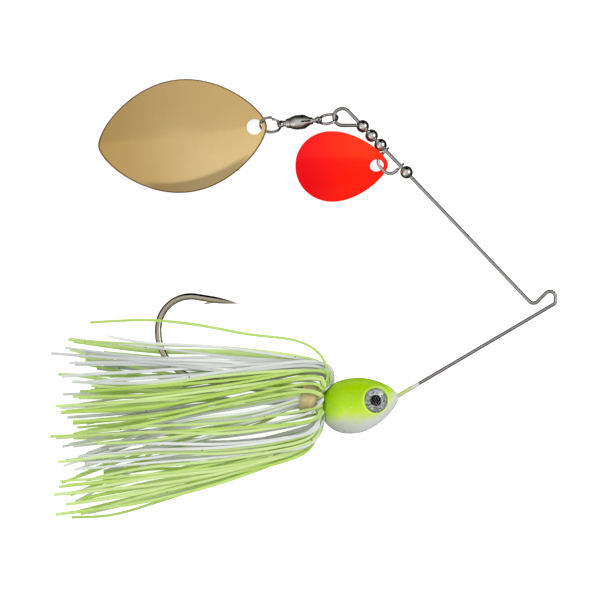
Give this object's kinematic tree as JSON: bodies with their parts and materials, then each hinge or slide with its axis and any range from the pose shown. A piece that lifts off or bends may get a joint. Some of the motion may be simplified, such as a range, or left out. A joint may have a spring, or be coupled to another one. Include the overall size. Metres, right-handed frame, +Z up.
{
  "type": "spinnerbait",
  "caption": "Spinnerbait fishing lure: bent wire form with a painted head, hook and silicone skirt on one leg, and spinner blades on a clevis and a swivel on the other.",
  "frame": {"origin": "centre of the lying lure's outline from above, on the table's surface", "axes": "+X along the lure from the skirt's ends to the line tie, +Y towards the blade arm, +Z up from the table, square to the wire form's plane"},
  "size_m": [0.1285, 0.1104, 0.0114],
  "materials": {
    "spring_wire": "bright drawn stainless spring wire",
    "hook_wire": "nickel-plated hook wire with a warm tint",
    "head_paint": "chartreuse paint fading to white below, glitter under a clear coat, over a cast lead alloy",
    "eye_foil": "silver holographic foil with a black pupil",
    "eye_lens": "clear resin dome",
    "band": "translucent tan rubber",
    "skirt": "translucent chartreuse and white silicone with black flecks",
    "nickel": "polished nickel plate",
    "red_paint": "gloss red enamel on the convex side of a nickel-plated blade",
    "gold_plate": "polished gold plate"
  },
  "bodies": {
    "frame": {"wire_form": "spring_wire", "hook": "hook_wire", "head": "head_paint", "eye_foil_upper": "eye_foil", "eye_foil_lower": "eye_foil", "eye_lens_upper": "eye_lens", "eye_lens_lower": "eye_lens", "skirt_band": "band", "skirt_outer_01": "skirt", "skirt_outer_02": "skirt", "skirt_outer_03": "skirt", "skirt_outer_04": "skirt", "skirt_outer_05": "skirt", "skirt_outer_06": "skirt", "skirt_outer_07": "skirt", "skirt_outer_08": "skirt", "skirt_outer_09": "skirt", "skirt_outer_10": "skirt", "skirt_inner_01": "skirt", "skirt_inner_02": "skirt", "skirt_inner_03": "skirt", "skirt_inner_04": "skirt", "stop_bead": "nickel"},
    "spacer_bead_1": {"spacer_bead_1": "nickel"},
    "spacer_bead_2": {"spacer_bead_2": "nickel"},
    "spacer_bead_3": {"spacer_bead_3": "nickel"},
    "clevis": {"clevis": "nickel"},
    "front_blade": {"front_blade": "red_paint"},
    "welded_ring": {"welded_ring": "nickel"},
    "swivel_barrel": {"swivel_barrel": "nickel"},
    "swivel_rotor": {"swivel_rotor": "nickel"},
    "swivel_balls": {"swivel_ball_1": "nickel", "swivel_ball_2": "nickel", "swivel_ball_3": "nickel", "swivel_ball_4": "nickel", "swivel_ball_5": "nickel", "swivel_ball_6": "nickel"},
    "split_ring": {"split_ring": "nickel"},
    "rear_blade": {"rear_blade": "gold_plate"}
  },
  "joints": [
    {"name": "spacer_bead_1_spin", "type": "hinge", "parent": "frame", "child": "spacer_bead_1", "pos_m": [0.01568, 0.04343, 0.0059], "axis": [-0.6896, 0.7242, 0], "continuous": true},
    {"name": "spacer_bead_2_spin", "type": "hinge", "parent": "frame", "child": "spacer_bead_2", "pos_m": [0.01791, 0.04109, 0.0059], "axis": [-0.6896, 0.7242, 0], "continuous": true},
    {"name": "spacer_bead_3_spin", "type": "hinge", "parent": "frame", "child": "spacer_bead_3", "pos_m": [0.02014, 0.03876, 0.0059], "axis": [-0.6896, 0.7242, 0], "continuous": true},
    {"name": "clevis_spin", "type": "hinge", "parent": "frame", "child": "clevis", "pos_m": [0.02334, 0.0354, 0.0059], "axis": [-0.6896, 0.7242, 0], "continuous": true},
    {"name": "front_blade_swing", "type": "hinge", "parent": "clevis", "child": "front_blade", "pos_m": [0.02168, 0.03424, 0.00579], "axis": [0, 0, 1], "range_deg": [0, 90]},
    {"name": "welded_ring_swing", "type": "hinge", "parent": "frame", "child": "welded_ring", "pos_m": [0.00849, 0.04537, 0.0059], "axis": [-0.0924, 0.9957, 0], "range_deg": [-12, 60]},
    {"name": "swivel_swing", "type": "hinge", "parent": "welded_ring", "child": "swivel_barrel", "pos_m": [0.00471, 0.04502, 0.00523], "axis": [0.0977, 0.5413, -0.8352], "range_deg": [-15, 75]},
    {"name": "swivel_rotor_spin", "type": "hinge", "parent": "swivel_barrel", "child": "swivel_rotor", "pos_m": [-0.00014, 0.04457, 0.00437], "axis": [-0.9806, -0.091, -0.1736], "continuous": true},
    {"name": "swivel_ball_orbit", "type": "hinge", "parent": "swivel_barrel", "child": "swivel_balls", "pos_m": [-0.00014, 0.04457, 0.00437], "axis": [-0.9806, -0.091, -0.1736], "continuous": true},
    {"name": "split_ring_swing", "type": "hinge", "parent": "swivel_rotor", "child": "split_ring", "pos_m": [-0.00489, 0.04413, 0.00353], "axis": [-0.1925, 0.6142, 0.7653], "range_deg": [-15, 70]},
    {"name": "rear_blade_swing", "type": "hinge", "parent": "split_ring", "child": "rear_blade", "pos_m": [-0.01001, 0.04366, 0.00262], "axis": [-0.1925, 0.6142, 0.7653], "range_deg": [-15, 60]}
  ],
  "couplings": [
    {"joint": "swivel_ball_orbit", "follows": "swivel_rotor_spin", "ratio": 0.4}
  ]
}
